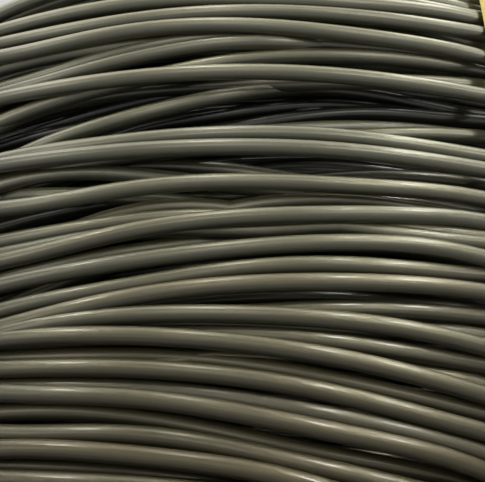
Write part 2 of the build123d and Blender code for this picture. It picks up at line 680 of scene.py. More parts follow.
    def clear_voids(self) -> None:
        """Sinks the turns that the photograph doesn't show, where it looks at the wall."""
        sunk = self.line_behind(self.sunk_wires)
        middle = self.outer.middle()
        levels = [self.outer.heights[turn][middle] for turn in self.outer.strands]
        for layer in (self.outer, self.second):
            near = 1.0 - ease((np.abs(layer.azimuths) - self.view_half) / self.view_fade)
            for turn in range(layer.turns):
                among = min(levels) < layer.heights[turn][middle] < max(levels)
                if among and turn not in layer.strands:
                    # Sunk turns take low ranks, three of them by turns.
                    layer.targets[turn] += near * (sunk - layer.targets[turn])
                    layer.ranks[turn] = 0.1 + 0.1 * (turn % 3)
                    layer.hidden[turn] = near

    def settle(self, times: int) -> None:
        """Moves turns in and out so that those that cross come to lie on each other.

        Two wires whose heights differ by less than a diameter need the rest of that diameter
        between their distances from the axis: the square root of diameter squared less height
        difference squared. What is lacking is shared between the two. A turn that is hidden
        needs less room, so that it doesn't push out those that show. Two turns of the same rank
        aren't moved apart, so they may overlap.

        Args:
            times: how often all the pairs are looked at.
        """
        layers = (self.outer, self.second)
        heights = np.concatenate([layer.heights for layer in layers])
        ranks = np.concatenate([layer.ranks for layer in layers])
        targets = np.concatenate([layer.targets for layer in layers])
        hidden = np.concatenate([layer.hidden for layer in layers])
        apart = heights[:, None, :] - heights[None, :, :]
        need = np.sqrt(np.maximum(self.sizes.wire**2 - apart**2, 0.0))
        need *= 1.0 - np.maximum(hidden[:, None, :], hidden[None, :, :])
        outward = ranks[:, None, None] > ranks[None, :, None]
        need_out = np.where(outward, need, 0.0)
        for _ in range(times):
            radii = np.concatenate([layer.radii for layer in layers])
            lack = np.where(need_out > 0, need_out - (radii[:, None, :] - radii[None, :, :]), 0.0)
            lack = np.maximum(lack, 0.0)
            radii += 0.5 * (lack.max(axis=1) - lack.max(axis=0))
            radii += self.pull * (targets - radii)
            radii = np.clip(radii, self.line_behind(self.deepest_wires), self.sizes.wall_line)
            self.outer.radii, self.second.radii = np.split(radii, [self.outer.turns])
            for layer in layers:
                layer.smooth()

    def lay(self) -> None:
        """Reads the strands, sinks what is hidden and settles the turns, a few times over."""
        for times in self.settlings:
            self.follow()
            self.squeeze()
            self.clear_voids()
            self.settle(times)


@dataclass(frozen=True)
class Tube:
    """A round wire carried along a path.

    Attributes:
        radius: half its diameter.
        sides: how many flats it is drawn with.
    """

    radius: float
    sides: int

    def points(self, path: np.ndarray) -> np.ndarray:
        """Sweeps the circle along the path.

        A point of the surface is the path's point plus the radius times cosine of the angle in the
        direction away from the coil's axis, plus the radius times its sine in the direction square
        to that and to the path.

        Args:
            path: an n by 3 array of points.

        Returns:
            The points of the surface, one circle after the other.
        """
        along = np.gradient(path, axis=0)
        along /= np.linalg.norm(along, axis=1, keepdims=True)
        away = path * np.array([1.0, 1.0, 0.0])
        away -= (away * along).sum(1, keepdims=True) * along
        away /= np.linalg.norm(away, axis=1, keepdims=True)
        over = np.cross(along, away)
        angle = (math.pi + 2 * math.pi * np.arange(self.sides) / self.sides)[None, :, None]
        ring = np.cos(angle) * away[:, None, :] + np.sin(angle) * over[:, None, :]
        return (path[:, None, :] + self.radius * ring).reshape(-1, 3)

    def unrolled(self, path: np.ndarray) -> np.ndarray:
        """Metres along the wire and round it, for each corner of each four-sided face.

        Args:
            path: an n by 3 array of points.

        Returns:
            An array of pairs, four for each face.
        """
        lengths = np.linalg.norm(np.diff(path, axis=0), axis=1)
        reached = np.concatenate([[0.0], np.cumsum(lengths)])[:, None]
        side = np.arange(self.sides)[None, :]
        around = 2 * math.pi * self.radius / self.sides
        u = np.stack([reached[:-1], reached[:-1], reached[1:], reached[1:]], axis=-1)
        v = np.stack([side, side + 1, side + 1, side], axis=-1) * around
        return np.stack(np.broadcast_arrays(u, v), axis=-1).reshape(-1, 2)

    def mesh(self, name: str, path: np.ndarray, shade: np.ndarray | None = None) -> bpy.types.Mesh:
        """Makes the wire's mesh, four-sided faces along it and a flat cap on each end.

        Args:
            name: name of the mesh.
            path: an n by 3 array of points.
            shade: how deep in shade each point lies, from 0 to 1.

        Returns:
            The mesh, with metres along the wire and round it as its UV map.
        """
        points = self.points(path)
        step = np.arange(len(path) - 1)[:, None]
        side = np.arange(self.sides)[None, :]
        here, there = step * self.sides, (step + 1) * self.sides
        turned = (side + 1) % self.sides
        quads = np.stack([here + side, here + turned, there + turned, there + side], axis=-1)
        last_cap = len(points) - 1 - side.ravel()
        corners = np.concatenate([quads.ravel(), side.ravel(), last_cap]).astype(np.int32)
        totals = np.array([4] * (quads.size // 4) + [self.sides] * 2, np.int32)
        starts = np.concatenate([[0], np.cumsum(totals)[:-1]]).astype(np.int32)
        mesh = bpy.data.meshes.new(name)
        mesh.vertices.add(len(points))
        mesh.vertices.foreach_set("co", points.astype(np.float32).ravel())
        mesh.loops.add(len(corners))
        mesh.loops.foreach_set("vertex_index", corners)
        mesh.polygons.add(len(totals))
        mesh.polygons.foreach_set("loop_start", starts)
        mesh.polygons.foreach_set("loop_total", totals)
        mesh.polygons.foreach_set("use_smooth", totals == 4)
        uv = np.zeros((len(corners), 2), np.float32)
        uv[: quads.size] = self.unrolled(path)
        mesh.uv_layers.new(name="along").data.foreach_set("uv", uv.ravel())
        mesh.update(calc_edges=True)
        mesh.validate()
        if shade is not None:
            attribute = mesh.attributes.new("shade", "FLOAT", "POINT")
            attribute.data.foreach_set("value", np.repeat(shade, self.sides).astype(np.float32))
        return mesh


def rgba(color: Color, keeps: float = 1.0) -> tuple[float, float, float, float]:
    """A colour, or what it keeps of itself where it is darker, with full alpha."""
    return (*(keeps * channel for channel in color), 1.0)


class Graph:
    """A short way to write a material's or a group's nodes."""

    def __init__(self, tree: bpy.types.NodeTree) -> None:
        """Starts from an empty node tree.

        Args:
            tree: the tree that the nodes go into.
        """
        self.tree = tree
        tree.nodes.clear()

    def node(self, kind: str, settings: dict[str, object] | None = None, **inputs: object) -> bpy.types.Node:
        """Adds a node.

        Args:
            kind: the node's type, without its leading ShaderNode.
            settings: its own settings, by name.
            **inputs: its inputs, by name with _ for a space, each a value or another node's output.

        Returns:
            The node.
        """
        node = self.tree.nodes.new("ShaderNode" + kind)
        for name, value in (settings or {}).items():
            setattr(node, name, value)
        for name, value in inputs.items():
            self.feed(self.socket(node, name), value)
        return node

    @staticmethod
    def socket(node: bpy.types.Node, name: str) -> bpy.types.NodeSocket:
        """Finds a node's input by its name, or by its number as in i0."""
        if name[0] == "i" and name[1:].isdigit():
            return node.inputs[int(name[1:])]
        return node.inputs[name.replace("_", " ")]

    def feed(self, socket: bpy.types.NodeSocket, value: object) -> None:
        """Links an output to an input, or sets the input's own value."""
        if isinstance(value, bpy.types.NodeSocket):
            self.tree.links.new(value, socket)
        else:
            socket.default_value = value

    def math(self, operation: str, *values: object) -> bpy.types.NodeSocket:
        """Adds a Math node and returns its result."""
        inputs = {f"i{number}": value for number, value in enumerate(values)}
        return self.node("Math", {"operation": operation}, **inputs).outputs[0]

    def mix(self, share: object, one: object, other: object) -> bpy.types.NodeSocket:
        """Adds a colour mix and returns its result."""
        node = self.node("Mix", {"data_type": "RGBA"}, i0=share, i6=one, i7=other)
        return node.outputs[2]

    def span(self, value: object, low: object, high: object, *levels: float) -> bpy.types.NodeSocket:
        """Adds a clamped Map Range from low..high to 0..1, or to two levels that are given."""
        to_low, to_high = levels or (0.0, 1.0)
        return self.node("MapRange", i0=value, i1=low, i2=high, i3=to_low, i4=to_high).outputs[0]

    def noise(
        self, vector: object, scale: object, detail: float, roughness: float = 0.5
    ) -> bpy.types.NodeSocket:
        """Adds a noise texture and returns its value."""
        node = self.node("TexNoise", Vector=vector, Scale=scale, Detail=detail, Roughness=roughness)
        return node.outputs[0]

    def axes(self, vector: object) -> bpy.types.bpy_prop_collection:
        """Takes a vector apart and returns its X, Y and Z."""
        return self.node("SeparateXYZ", Vector=vector).outputs

    def joined(self, x: object, y: object) -> bpy.types.NodeSocket:
        """Makes a level vector of two values."""
        return self.node("CombineXYZ", X=x, Y=y).outputs[0]

    def place(self) -> bpy.types.NodeSocket:
        """The place of a point on the piece, in Object coordinates."""
        return self.node("TexCoord").outputs["Object"]

    def group(self, tree: bpy.types.NodeTree, **inputs: object) -> bpy.types.bpy_prop_collection:
        """Places a node group and returns its outputs."""
        return self.node("Group", {"node_tree": tree}, **inputs).outputs

    def showing_backdrop(self) -> bpy.types.NodeSocket:
        """1 for the rays that show the backdrop: the camera's, mirrored ones and ones through glass."""
        rays = self.node("LightPath").outputs
        mirrored = self.math("MAXIMUM", rays["Is Glossy Ray"], rays["Is Transmission Ray"])
        return self.math("MAXIMUM", rays["Is Camera Ray"], mirrored)


@dataclass(frozen=True)
class Mottle:
    """Uneven patches in which a colour is darker.

    Attributes:
        size: size of the larger patches.
        spread: how softly they begin and end.
        share: how far the darkest of them goes to the darker colour.
        keeps: what the darker colour keeps of the colour that it is made of.
    """

    size: float
    spread: float
    share: float
    keeps: float


class Effects:
    """Node groups that more than one finish uses, each built once."""

    def __init__(self) -> None:
        """Builds the groups."""
        self.drawing_lines = self._drawing_lines()
        self.patches = self._patches()

    @staticmethod
    def _group(name: str, inputs: dict[str, float], outputs: tuple[str, ...]) -> bpy.types.NodeTree:
        """Makes an empty group with its sockets.

        Args:
            name: the group's name.
            inputs: first value of each input, by its name.
            outputs: names of the outputs, each a value.

        Returns:
            The group.
        """
        group = bpy.data.node_groups.new(name, "ShaderNodeTree")
        for socket, value in inputs.items():
            made = group.interface.new_socket(socket, in_out="INPUT", socket_type="NodeSocketFloat")
            made.default_value = value
        for socket in outputs:
            group.interface.new_socket(socket, in_out="OUTPUT", socket_type="NodeSocketFloat")
        return group

    def _drawing_lines(self) -> bpy.types.NodeTree:
        """Fine lines along the wire, as a die leaves them.

        Noise is read at coordinates that run slowly along the wire and fast round it. The inputs
        say how many times each metre counts.

        Returns:
            The group. Lines are fine, Streaks are broad, and Lengths tells stretches of wire apart.
        """
        inputs = {"Along": 6.0, "Round": 2200.0, "Streak Along": 2.0, "Streak Round": 500.0, "Stretch": 0.9}
        group = self._group("drawing_lines", inputs, ("Lines", "Streaks", "Lengths"))
        g = Graph(group)
        given = group.nodes.new("NodeGroupInput").outputs
        along, around, _ = g.axes(g.node("UVMap", {"uv_map": "along"}).outputs[0])
        fine = g.joined(g.math("MULTIPLY", along, given["Along"]), g.math("MULTIPLY", around, given["Round"]))
        slow = g.math("MULTIPLY", along, given["Streak Along"])
        broad = g.joined(slow, g.math("MULTIPLY", around, given["Streak Round"]))
        stretch = g.joined(g.math("MULTIPLY", along, given["Stretch"]), 0.0)
        out = group.nodes.new("NodeGroupOutput")
        g.feed(out.inputs["Lines"], g.noise(fine, 1.0, 3.0, 0.7))
        g.feed(out.inputs["Streaks"], g.noise(broad, 1.0, 2.0, 0.6))
        g.feed(out.inputs["Lengths"], g.noise(stretch, 1.0, 2.0))
        return group

    def _patches(self) -> bpy.types.NodeTree:
        """Soft uneven patches of two sizes, as dust, oil and handling leave them.

        Finer says how many times smaller the small ones are, and Fine Share what they add.

        Returns:
            The group, with a value from 0 to 1 as output.
        """
        inputs = {"Size": 0.05, "Spread": 0.5, "Finer": 7.0, "Fine Share": 0.3}
        group = self._group("uneven_patches", inputs, ("Patches",))
        g = Graph(group)
        given = group.nodes.new("NodeGroupInput").outputs
        scale = g.math("DIVIDE", 1.0, given["Size"])
        large = g.noise(g.place(), scale, 3.0)
        small = g.noise(g.place(), g.math("MULTIPLY", scale, given["Finer"]), 2.0)
        large_share = g.math("SUBTRACT", 1.0, given["Fine Share"])
        fine = g.math("MULTIPLY", small, given["Fine Share"])
        both = g.math("ADD", g.math("MULTIPLY", large, large_share), fine)
        half = g.math("MULTIPLY", given["Spread"], 0.5)
        patches = g.span(both, g.math("SUBTRACT", 0.5, half), g.math("ADD", 0.5, half))
        g.feed(group.nodes.new("NodeGroupOutput").inputs["Patches"], patches)
        return group

    def mottled(
        self, g: Graph, mottle: Mottle, color: object, base: Color
    ) -> tuple[bpy.types.NodeSocket, bpy.types.NodeSocket]:
        """Darkens a colour in uneven patches.

        Args:
            g: the material's nodes.
            mottle: the patches.
            color: the colour that is darkened.
            base: the colour that the darker one is made of.

        Returns:
            The mottled colour, and the patches.
        """
        patches = g.group(self.patches, Size=mottle.size, Spread=mottle.spread)[0]
        share = g.math("MULTIPLY", patches, mottle.share)
        return g.mix(share, color, rgba(base, mottle.keeps)), patches


def new_material(name: str) -> tuple[bpy.types.Material, Graph]:
    """Makes a material with an empty node tree."""
    material = bpy.data.materials.new(name)
    material.use_nodes = True
    return material, Graph(material.node_tree)


@dataclass(frozen=True)
class DrawnWireFinish:
    """Dark drawn steel under a thin phosphate and soap coat.

    Attributes:
        olive: reflection of the coated steel.
        brown: reflection where the coat has browned.
        slate: reflection where the coat is thin and dark, also the painted shade on the underside.
        bare: reflection of the drawing lines that the coat has left.
        browned: how brown a length of wire is.
        darkened: how slate a length of wire is.
        thinned: how bare a streak is.
        mottle: the patches in which the olive is darker.
        painted_shade_facing_down: how far the underside's painted shade shows as the wire faces down.
        underside_painted_shade: what the underside's painted shade keeps of the slate.
        painted_shade_below: painted shade, what the lower turns keep of their colour, darker and browner.
        painted_light_above: painted light, what the upper turns have of theirs, brighter and cooler.
        low_turns_height: height under which turns are as dark.
        high_turns_height: height over which turns are as bright.
        low_shade: how much darker the deepest of the lower turns are, as a share.
        depth_shade: how much darker the deepest of the upper turns are, as a share.
        roughness: how rough the drawing lines are.
        patch_roughness: how much rougher the patches are.
        dulled: how much rougher the lower turns are.
        line_height: height of the drawing lines.
        streak_height: height of the broader streaks.
        metal: how much of the reflection is the steel's own.
        drawn: how much further a reflection spreads across the drawing lines than along them.
        drawn_turn: what part of a turn the lines' direction is turned by from the UV map's.
        coat: how much of a clear coat of soap the lower and the upper turns have.
        coat_roughness: how rough it is.
    """

    olive: Color = (0.133, 0.120, 0.067)
    brown: Color = (0.137, 0.109, 0.058)
    slate: Color = (0.093, 0.089, 0.064)
    bare: Color = (0.30, 0.29, 0.23)
    browned: Span = (0.5, 0.66, 0.0, 0.75)
    darkened: Span = (0.36, 0.5, 0.8, 0.0)
    thinned: Span = (0.5, 0.78, 0.0, 0.5)
    mottle: Mottle = Mottle(size=0.06, spread=0.5, share=0.4, keeps=0.6)
    painted_shade_facing_down: Span = (-0.15, -0.8, 0.0, 1.0)
    underside_painted_shade: float = 0.8
    painted_shade_below: Color = (0.60, 0.56, 0.455)
    painted_light_above: Color = (1.25, 1.315, 1.325)
    low_turns_height: float = 0.24
    high_turns_height: float = 0.52
    low_shade: float = 0.2
    depth_shade: float = 0.92
    roughness: Span = (0.3, 0.7, 0.27, 0.37)
    patch_roughness: float = 0.08
    dulled: float = 0.07
    line_height: float = 0.00004
    streak_height: float = 0.00018
    metal: float = 0.7
    drawn: float = 0.75
    drawn_turn: float = 0.25
    coat: tuple[float, float] = (0.45, 0.7)
    coat_roughness: float = 0.15

    def material(self, name: str, effects: Effects) -> bpy.types.Material:
        """Builds the material.

        Args:
            name: its name.
            effects: the shared node groups.

        Returns:
            The material.
        """
        material, g = new_material(name)
        lines = g.group(effects.drawing_lines)
        height = g.axes(g.place())[2]
        rise = (height, self.low_turns_height, self.high_turns_height)
        color = g.mix(g.span(lines["Lengths"], *self.browned), rgba(self.olive), rgba(self.brown))
        color = g.mix(g.span(lines["Lengths"], *self.darkened), color, rgba(self.slate))
        color = g.mix(g.span(lines["Streaks"], *self.thinned), color, rgba(self.bare))
        color, patches = effects.mottled(g, self.mottle, color, self.olive)
        # Painted shade: the colour goes to a darker slate where the wire faces down.
        facing = g.axes(g.node("NewGeometry").outputs["Normal"])[2]
        color = g.mix(g.span(facing, *self.painted_shade_facing_down), color, rgba(self.slate, self.underside_painted_shade))
        # Painted shade and light by height: lower turns darker and browner, upper turns brighter.
        painted_light_and_shade = g.mix(g.span(*rise), rgba(self.painted_shade_below), rgba(self.painted_light_above))
        color = g.node("VectorMath", {"operation": "MULTIPLY"}, i0=color, i1=painted_light_and_shade).outputs[0]
        shade = g.node("Attribute", {"attribute_name": "shade"}).outputs["Fac"]
        deepest = g.span(*rise, self.low_shade, self.depth_shade)
        kept = g.math("SUBTRACT", 1.0, g.math("MULTIPLY", shade, deepest))
        color = g.node("VectorMath", {"operation": "SCALE"}, i0=color, Scale=kept).outputs[0]
        rough = g.math("MULTIPLY", patches, self.patch_roughness)
        rough = g.math("ADD", rough, g.span(lines["Lines"], *self.roughness))
        rough = g.math("ADD", rough, g.span(*rise, self.dulled, 0.0))
        normal = g.node("Bump", Height=lines["Streaks"], Distance=self.streak_height).outputs[0]
        normal = g.node("Bump", Height=lines["Lines"], Distance=self.line_height, Normal=normal).outputs[0]
        shader = g.node(
            "BsdfPrincipled",
            Base_Color=color,
            Roughness=rough,
            Metallic=self.metal,
            Anisotropic=self.drawn,
            Anisotropic_Rotation=self.drawn_turn,
            Tangent=g.node("Tangent", {"direction_type": "UV_MAP", "uv_map": "along"}).outputs[0],
            Normal=normal,
            Coat_Weight=g.span(*rise, *self.coat),
            Coat_Roughness=self.coat_roughness,
        )
        g.node("OutputMaterial", Surface=shader.outputs[0])
        return material


@dataclass(frozen=True)
class StrapFinish:
    """Yellow strapping with an embossed diamond pattern.

    Attributes:
        color: the plastic's colour.
        mottle: the patches in which it is dirty.
        emboss: distance from one embossed line to the next.
        depth: depth of the embossing.
        pressed: how sharply it is pressed.
        roughness: how rough it is outside the dirty patches.
        patch_roughness: how much rougher the dirty patches are.
        gloss: the level of its specular reflection.
    """

    color: Color = (0.70, 0.56, 0.13)
    mottle: Mottle = Mottle(size=0.03, spread=0.4, share=0.45, keeps=0.55)
    emboss: float = 0.0026
    depth: float = 0.00025
    pressed: float = 0.8
    roughness: float = 0.38
    patch_roughness: float = 0.2
    gloss: float = 0.45

    def material(self, name: str, effects: Effects) -> bpy.types.Material:
        """Builds the material.

        The relief is the product of two sines, of height plus and of height less the level place.

        Args:
            name: its name.
            effects: the shared node groups.

        Returns:
            The material.
        """
        material, g = new_material(name)
        x, y, z = g.axes(g.place())
        turn = 2 * math.pi / self.emboss
        level = g.math("ADD", x, y)
        one = g.math("SINE", g.math("MULTIPLY", g.math("ADD", z, level), turn))
        two = g.math("SINE", g.math("MULTIPLY", g.math("SUBTRACT", z, level), turn))
        relief = g.math("MULTIPLY", one, two)
        color, patches = effects.mottled(g, self.mottle, rgba(self.color), self.color)
        rough = g.math("ADD", self.roughness, g.math("MULTIPLY", patches, self.patch_roughness))
        bump = g.node("Bump", Height=relief, Distance=self.depth, Strength=self.pressed)
        shader = g.node("BsdfPrincipled", Base_Color=color, Roughness=rough, Normal=bump.outputs[0])
        shader.inputs["Specular IOR Level"].default_value = self.gloss
        g.node("OutputMaterial", Surface=shader.outputs[0])
        return material


@dataclass(frozen=True)
class ZincFinish:
    """Zinc coated sheet, dulled, with crimps pressed across it.

    Attributes:
        color: reflection of the zinc.
        mottle: the patches in which it is dull.
        crimp: distance from one crimp to the next.
        groove: how deep in a crimp a point lies, by the sine across it.
        depth: depth of a crimp.
        pressed: how sharply it is pressed.
        roughness: how rough the zinc is where it is bright.
        patch_roughness: how much rougher the dull patches are.
    """

    color: Color = (0.52, 0.53, 0.53)
    mottle: Mottle = Mottle(size=0.008, spread=0.5, share=0.6, keeps=0.6)
    crimp: float = 0.0085
    groove: Span = (-1.0, -0.5, 0.0, 1.0)
    depth: float = 0.0006
    pressed: float = 0.9
    roughness: float = 0.34
    patch_roughness: float = 0.25

    def material(self, name: str, effects: Effects) -> bpy.types.Material:
        """Builds the material.

        Args:
            name: its name.
            effects: the shared node groups.

        Returns:
            The material.
        """
        material, g = new_material(name)
        height = g.axes(g.place())[2]
        wave = g.math("SINE", g.math("MULTIPLY", height, 2 * math.pi / self.crimp))
        color, patches = effects.mottled(g, self.mottle, rgba(self.color), self.color)
        rough = g.math("ADD", self.roughness, g.math("MULTIPLY", patches, self.patch_roughness))
        press = g.span(wave, *self.groove)
        bump = g.node("Bump", Height=press, Distance=self.depth, Strength=self.pressed).outputs[0]
        shader = g.node("BsdfPrincipled", Base_Color=color, Roughness=rough, Metallic=1.0, Normal=bump)
        g.node("OutputMaterial", Surface=shader.outputs[0])
        return material


@dataclass(frozen=True)
class PlainFinish:
    """One even, slightly mottled colour, for what hardly shows."""

    color: Color
    roughness: float
    mottle: Mottle = Mottle(size=0.3, spread=0.6, share=1.0, keeps=0.96)

    def material(self, name: str, effects: Effects) -> bpy.types.Material:
        """Builds the material.

        Args:
            name: its name.
            effects: the shared node groups.

        Returns:
            The material.
        """
        material, g = new_material(name)
        color, _ = effects.mottled(g, self.mottle, rgba(self.color), self.color)
        shader = g.node("BsdfPrincipled", Base_Color=color, Roughness=self.roughness)
        g.node("OutputMaterial", Surface=shader.outputs[0])
        return material


@dataclass(frozen=True)
class FloorFinish:
    """A plain pale floor, which is seen to fade into the backdrop far from the coil.

    Attributes:
        color: the floor's colour.
        roughness: how rough it is.
        backdrop: the backdrop's colour.
        fade_from: distance from the axis at which the floor begins to fade.
        fade_to: distance from which on only the backdrop's colour shows.
    """

    color: Color = (0.54, 0.54, 0.53)
    roughness: float = 0.9
    backdrop: Color = (0.66, 0.66, 0.66)
    fade_from: float = 0.9
    fade_to: float = 4.0

    def material(self, name: str) -> bpy.types.Material:
        """Builds the material.

        Args:
            name: its name.

        Returns:
            The material.
        """
        material, g = new_material(name)
        distance = g.node("VectorMath", {"operation": "LENGTH"}, i0=g.place()).outputs["Value"]
        seen = g.math("MULTIPLY", g.span(distance, self.fade_from, self.fade_to), g.showing_backdrop())
        plain = g.node("BsdfPrincipled", Base_Color=rgba(self.color), Roughness=self.roughness).outputs[0]
        glow = g.node("Emission", Color=rgba(self.backdrop), Strength=1.0).outputs[0]
        shader = g.node("MixShader", i0=seen, i1=plain, i2=glow)
        g.node("OutputMaterial", Surface=shader.outputs[0])
        return material


def added(mesh: bpy.types.Mesh, material: bpy.types.Material) -> bpy.types.Object:
    """Makes an object of a mesh and its finish, under the mesh's name."""
    mesh.materials.append(material)
    made = bpy.data.objects.new(mesh.name, mesh)
    bpy.context.scene.collection.objects.link(made)
    return made


@dataclass(frozen=True)
class EndFace:
    """The turns that show on an end face, two rows of them.

    Each row is a flat spiral from the bore to the outer layers, whose distance from the axis
    wanders and whose height dips a little here and there.

    Attributes:
        name: first part of its pieces' names.
        sizes: the coil's sizes.
        level: height of the wire's line in the row that shows.
        inward: 1 where the next row lies higher, or -1 where it lies lower.
        seed: start of its random draws.
        sides: how many flats the wire is drawn with.
        turns: how many turns a row has.
        from_bore: how far from the bore a row begins, in wires.
        from_wall: how far from the outer wall it ends, in wires.
        row_shift: how far the second row is shifted towards the wall, in wires.
        row_depth: how far it lies behind the first, in wires.
        stray: how far a turn strays across the wall, and how far it dips.
        waves: counts and sizes of the waves in which it strays.
        stray_drift: how far their phases drift in a turn as it strays across the wall.
        dip_drift: how far they drift as it dips.
    """

    name: str
    sizes: CoilSizes
    level: float
    inward: int
    seed: int
    sides: int = 10
    turns: int = 6
    from_bore: float = 1.5
    from_wall: float = 2.0
    row_shift: float = 0.5
    row_depth: float = 0.9
    stray: float = 0.0035
    waves: tuple[tuple[int, float], ...] = ((1, 0.5), (2, 0.35), (3, 0.2))
    stray_drift: float = 0.5
    dip_drift: float = 1.2

    def meshes(self) -> list[bpy.types.Mesh]:
        """Makes both rows, the one that shows first."""
        rng = np.random.default_rng(self.seed)
        s = self.sizes
        first, last = s.bore + self.from_bore * s.wire, s.outer - self.from_wall * s.wire
        along = np.arange(self.turns * STEPS) / STEPS
        azimuth = SEAM_AZIMUTH + 2 * math.pi * along
        lowest_dip = sum(size for _, size in self.waves)
        made = []
        for row in range(2):
            aside, dip = np.zeros_like(along), np.zeros_like(along)
            for count, size in self.waves:
                aside += Wave(count, size, self.stray_drift).drawn(rng, azimuth, along)
                dip += Wave(count, size, self.dip_drift).drawn(rng, azimuth, along)
            start = first + row * self.row_shift * s.wire
            radii = start + (last - first) * along / self.turns + self.stray * aside
            depth = row * self.row_depth * s.wire + self.stray * (lowest_dip + dip)
            heights = self.level + self.inward * depth
            path = np.stack([radii * np.sin(azimuth), -radii * np.cos(azimuth), heights], axis=1)
            made.append(Tube(s.wire_radius, self.sides).mesh(f"{self.name}_row_{row + 1}", path))
        return made


@dataclass
class WireTurns:
    """The turns of wire: two outer layers, the layers behind them, the bore and both ends.

    Attributes:
        sizes: the coil's sizes.
        winding: the two outer layers, already laid.
        material: the wire's finish.
        core_shade_material: near-black finish of the core behind the turns: painted shade.
        third_wires: how far behind the outer wall the third layer lies, in wires.
        bore_clearance: how far the layer in the bore stays out of the eye.
        core_bore_wires: how far behind the bore the core begins, in wires.
        core_wall_wires: how far behind the outer wall it ends, in wires.
        core_end_wires: how far behind the end faces it ends, in wires.
    """

    sizes: CoilSizes
    winding: Winding
    material: bpy.types.Material
    core_shade_material: bpy.types.Material
    third_wires: float = 4.4
    bore_clearance: float = 0.0006
    core_bore_wires: float = 1.2
    core_wall_wires: float = 5.2
    core_end_wires: float = 2.4

    def piece(self, mesh: bpy.types.Mesh, material: bpy.types.Material) -> None:
        """Adds a piece of wire that stands for the turned block.

        Args:
            mesh: its mesh.
            material: its finish.
        """
        piece = added(mesh, material)
        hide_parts("wire_coil")
        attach(piece, "root")
        LOG.info("%s: %d faces", piece.name, len(mesh.polygons))

    def outer_layers(self) -> None:
        """Adds the two outer layers, the first one in two pieces."""
        outer, second = self.winding.outer, self.winding.second
        path, shade = outer.path(), outer.shade()
        half = outer.turns // 2 * STEPS
        tube = Tube(self.sizes.wire_radius, sides=14)
        lower = tube.mesh("outer_turns_lower", path[: half + 1], shade[: half + 1])
        self.piece(lower, self.material)
        self.piece(tube.mesh("outer_turns_upper", path[half:], shade[half:]), self.material)
        tube = Tube(self.sizes.wire_radius, sides=10)
        self.piece(tube.mesh("second_turns", second.path(), second.shade()), self.material)

    def backing(self) -> None:
        """Adds the third layer, close and in full shade, that shows dimly through the gaps."""
        rest = self.sizes.outer - self.third_wires * self.sizes.wire
        layer = Layer(self.sizes, turns=49, rest_radius=rest, wander=0.003, seed=31)
        every_second = layer.path()[::2]
        tube = Tube(self.sizes.wire_radius, sides=8)
        self.piece(tube.mesh("third_turns", every_second, np.ones(len(every_second))), self.material)

    def bore_layer(self) -> None:
        """Adds the layer that faces the eye."""
        rest = self.sizes.bore + self.sizes.wire_radius + self.bore_clearance
        layer = Layer(self.sizes, turns=48, rest_radius=rest, wander=0.0035, seed=43)
        tube = Tube(self.sizes.wire_radius, sides=9)
        self.piece(tube.mesh("bore_turns", layer.path()), self.material)

    def core(self) -> None:
        """Adds the plain core behind the turns: a rectangle turned about the axis."""
        s = self.sizes
        inner, outer = s.bore + self.core_bore_wires * s.wire, s.outer - self.core_wall_wires * s.wire
        low, high = s.low + self.core_end_wires * s.wire, s.high - self.core_end_wires * s.wire
        across, heights = np.array([(inner, low), (outer, low), (outer, high), (inner, high)]).T
        azimuth = 2 * math.pi * np.arange(STEPS)[:, None] / STEPS
        points = np.broadcast_arrays(across * np.sin(azimuth), -across * np.cos(azimuth), heights)
        step, side = np.arange(STEPS)[:, None] * 4, np.arange(4)[None, :]
        there = (step + 4) % (4 * STEPS)
        turned = (side + 1) % 4
        quads = np.stack([step + side, there + side, there + turned, step + turned], axis=-1)
        corners = np.stack(points, axis=-1).reshape(-1, 3)
        mesh = bpy.data.meshes.new("inner_turns_core")
        mesh.from_pydata(corners.tolist(), [], quads.reshape(-1, 4).tolist())
        self.piece(mesh, self.core_shade_material)

    def build(self) -> None:
        """Adds all the turns."""
        self.outer_layers()
        self.backing()
        self.bore_layer()
        for face in (
            EndFace("top_turns", self.sizes, self.sizes.highest_line, inward=-1, seed=57),
            EndFace("bottom_turns", self.sizes, self.sizes.lowest_line, inward=1, seed=59),
        ):
            for mesh in face.meshes():
                self.piece(mesh, self.material)
        self.core()


@dataclass(frozen=True)
class Binding:
    """The bands and their seals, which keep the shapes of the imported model.

    Attributes:
        band: the bands' finish.
        seal: the seals' finish.
    """

    band: bpy.types.Material
    seal: bpy.types.Material

    def dress(self) -> None:
        """Gives each band and seal its finish."""
        for name, node in frame["nodes"].items():
            slot = name.split("_")[0]
            finish = {"band": self.band, "seal": self.seal}.get(slot)
            if finish is not None:
                node.data.materials.clear()
                node.data.materials.append(finish)
                LOG.info("%s: dressed", name)


